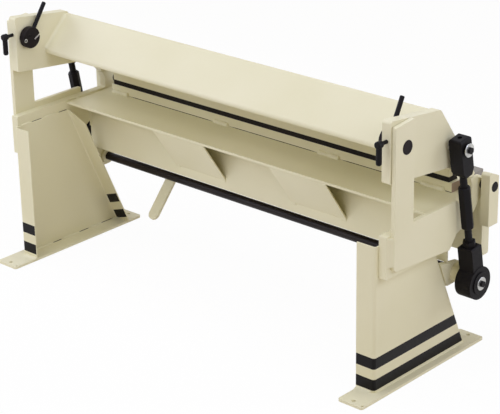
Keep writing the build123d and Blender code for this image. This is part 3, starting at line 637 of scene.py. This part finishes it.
def threadGrid(look, side, span):
    run = np.array((0, *np.subtract(look["pin"], look["eye"])))
    along = run / np.linalg.norm(run)
    s = np.linspace(*span, int((span[1] - span[0]) / look["stepMm"]))
    angle = np.linspace(0, 2 * np.pi, look["columns"], endpoint=False)
    wave = np.mod(s[:, None] / look["pitch"] + angle / (2 * np.pi), 1)
    radius = look["rootRadius"] + look["depth"] * (1 - np.abs(2 * wave - 1))
    across = np.array((1.0, 0.0, 0.0))
    ring = np.cos(angle)[:, None] * across + np.sin(angle)[:, None] * np.cross(across, along)
    return np.array((side * look["x"], *look["eye"])) + s[:, None, None] * along + radius[:, :, None] * ring


for sideName, side in sides:
    surfacePiece(
        "stud_threads_" + sideName, "link_" + sideName, finishes["black_oxide_steel"],
        [threadGrid(linkStud, side, span) for span in linkStud["spans"]], sharpDegrees=80,
    )

# Ribbed sleeve: the radius falls into a groove every pitch and closes on a quarter ellipse at the tip.
gripSleeve = {
    "x": 820.0, "faceY": -426.0, "z": 600.0, "droop": 35.0, "from": 170.0, "to": 305.0, "radius": 19.0,
    "pitch": 9.0, "groove": 1.6, "collar": 7.0, "plain": 3.0, "tip": 7.0, "tipShare": 0.25,
    "stepMm": 0.75, "columns": 36,
}


def gripGrid(look, side):
    droop = math.radians(look["droop"])
    s = np.linspace(look["from"], look["to"], int((look["to"] - look["from"]) / look["stepMm"]))
    fromCollar = s - look["from"] - look["collar"]
    ribbed = (fromCollar > 0) & (s < look["to"] - look["tip"] - look["plain"])
    dip = 1 - np.abs(np.sin(np.pi * fromCollar / look["pitch"]))
    radius = look["radius"] - look["groove"] * ribbed * dip
    closing = np.clip((s - look["to"] + look["tip"]) / look["tip"], 0, 1)
    radius = radius * (look["tipShare"] + (1 - look["tipShare"]) * np.sqrt(1 - closing**2))
    place, along = (side * look["x"], look["faceY"], look["z"]), (0, -math.cos(droop), -math.sin(droop))
    return turnedGrid(np.stack([radius, s], -1), place, along, look["columns"])


surfacePiece(
    "ribbed_grips", "apron", finishes["grip_rubber"],
    [gripGrid(gripSleeve, side) for side in (-1, 1)], ["apron_grips"],
)

# Ring weld where the slanted handle meets the leaf: round an ellipse, a half-round ridge that dips
# into both, its width following a ripple.
handleWeld = {
    "radius": 15.0, "width": 7.7, "ripples": 12, "ripple": 0.08, "rows": 73, "columns": 10,
}


def handleBead(look, grip, side):
    around = np.linspace(0, 2 * np.pi, look["rows"])
    across = np.linspace(0, 2 * np.pi, look["columns"], endpoint=False)
    half = look["width"] / 2 * (1 + look["ripple"] * np.sin(look["ripples"] * around))[:, None]
    reach = look["radius"] + half * np.cos(across)
    x = side * grip["x"] + reach * np.cos(around)[:, None]
    z = grip["z"] + reach * np.sin(around)[:, None] / math.cos(math.radians(grip["droop"]))
    y = grip["faceY"] - half * np.sin(across)
    return np.stack([x, y, z], -1)


beads = [handleBead(handleWeld, gripSleeve, side) for side in (-1, 1)]
surfacePiece("handle_welds", "apron", cream, beads)
print("screws, threads, grips and handle welds made")

# The photograph's own view, from behind the left end. Azimuth is counted from the front, anticlockwise as
# seen from above, and elevation from level, in degrees.
photoView = {
    "lensMm": 130.13, "sensorMm": 36.0, "placeMm": (-5146.4, 5424.1, 3566.5),
    "azimuth": 222.681, "elevation": 22.604, "roll": -1.052, "farM": 100.0,
}


def photoCamera(view):
    turn, tilt, roll = (math.radians(view[key]) for key in ("azimuth", "elevation", "roll"))
    back = Vector((math.sin(turn) * math.cos(tilt), -math.cos(turn) * math.cos(tilt), math.sin(tilt)))
    right = Vector((math.cos(turn), math.sin(turn), 0))
    upward = back.cross(right)
    rolledRight = math.cos(roll) * right + math.sin(roll) * upward
    rolledUp = math.cos(roll) * upward - math.sin(roll) * right
    data = bpy.data.cameras.new("photo camera")
    data.sensor_fit = "HORIZONTAL"
    data.sensor_width = view["sensorMm"]
    data.lens = view["lensMm"]
    data.clip_end = view["farM"]
    camera = bpy.data.objects.new("photo camera", data)
    axes = Matrix((rolledRight, rolledUp, back)).transposed().to_4x4()
    camera.matrix_world = Matrix.Translation(Vector(view["placeMm"]) * mm) @ axes
    bpy.context.scene.collection.objects.link(camera)
    bpy.context.scene.camera = camera


# Plain studio: a warm ambient light, cool softboxes round the machine and a wide white floor, in metres.
studio = {
    "ambient": 0.32, "ambientColour": "#FFE8C0", "lampColour": "#D9E2FF",
    "floorHalf": 30.0, "floorDrop": 0.0003, "floorColour": "#F7F3EC", "floorWhite": 0.965,
    "lamps": {  # place, aim, size, watts
        "top softbox": ((0.0, 0.0, 4.8), (0.0, 0.0, 0.9), 3.2, 75.0),
        "high rear softbox": ((0.0, 4.2, 4.4), (0.0, 0.0, 0.8), 3.2, 101.0),
        "low rear softbox": ((3.4, 3.5, 2.1), (0.3, 0.0, 0.7), 2.2, 50.0),
        "near end softbox": ((-4.6, 0.6, 3.6), (-0.9, 0.0, 0.6), 2.6, 80.0),
        "far end softbox": ((5.0, 0.4, 2.2), (0.5, 0.0, 0.7), 2.6, 90.0),
        "front softbox": ((-3.6, -3.2, 2.6), (-0.5, 0.0, 0.8), 2.6, 56.0),
    },
}


def shownDirectly(tree):
    # 1 where the camera, a mirror reflection or a clear material looks straight at the surface
    path = addNode(tree, "ShaderNodeLightPath").outputs
    first = addNode(
        tree, "ShaderNodeMath", {0: path["Is Camera Ray"], 1: path["Is Glossy Ray"]}, operation="MAXIMUM"
    )
    return addNode(
        tree, "ShaderNodeMath", {0: first.outputs[0], 1: path["Is Transmission Ray"]}, operation="MAXIMUM"
    ).outputs[0]


def studioRoom(room):
    world = bpy.data.worlds.new("studio")
    bpy.context.scene.world = world
    world.use_nodes = True
    tree = world.node_tree
    tree.nodes.clear()
    soft = addNode(
        tree, "ShaderNodeBackground", {"Color": linear(room["ambientColour"]), "Strength": room["ambient"]}
    )
    white = addNode(tree, "ShaderNodeBackground", {"Color": (1, 1, 1, 1), "Strength": 1.0})
    either = addNode(
        tree, "ShaderNodeMixShader", {0: shownDirectly(tree), 1: soft.outputs[0], 2: white.outputs[0]}
    )
    addNode(tree, "ShaderNodeOutputWorld", {0: either.outputs[0]})

    half, low = room["floorHalf"], -room["floorDrop"]
    mesh = bpy.data.meshes.new("floor")
    mesh.from_pydata(
        [(-half, -half, low), (half, -half, low), (half, half, low), (-half, half, low)], [], [(0, 1, 2, 3)]
    )
    floor = bpy.data.objects.new("floor", mesh)
    bpy.context.scene.collection.objects.link(floor)
    # Matt white studio floor: its own shading keeps the shadow, part of it is shown as plain white.
    paper = bpy.data.materials.new("white studio floor")
    paper.use_nodes = True
    tree = paper.node_tree
    tree.nodes.clear()
    matt = addNode(tree, "ShaderNodeBsdfDiffuse", {"Color": linear(room["floorColour"])})
    plain = addNode(tree, "ShaderNodeEmission", {"Color": (1, 1, 1, 1), "Strength": 1.0})
    share = addNode(
        tree, "ShaderNodeMath", {0: shownDirectly(tree), 1: room["floorWhite"]}, operation="MULTIPLY"
    )
    either = addNode(
        tree, "ShaderNodeMixShader", {0: share.outputs[0], 1: matt.outputs[0], 2: plain.outputs[0]}
    )
    addNode(tree, "ShaderNodeOutputMaterial", {0: either.outputs[0]})
    mesh.materials.append(paper)

    for name, (place, aim, size, watts) in room["lamps"].items():
        data = bpy.data.lights.new(name, "AREA")
        data.shape = "SQUARE"
        data.size = size
        data.energy = watts
        data.color = linear(room["lampColour"])[:3]
        lamp = bpy.data.objects.new(name, data)
        lamp.location = place
        lamp.rotation_euler = (Vector(aim) - Vector(place)).to_track_quat("-Z", "Y").to_euler()
        bpy.context.scene.collection.objects.link(lamp)


photoCamera(photoView)
studioRoom(studio)
bpy.context.scene.view_settings.view_transform = "Standard"
print("camera, floor and", len(studio["lamps"]), "lamps")
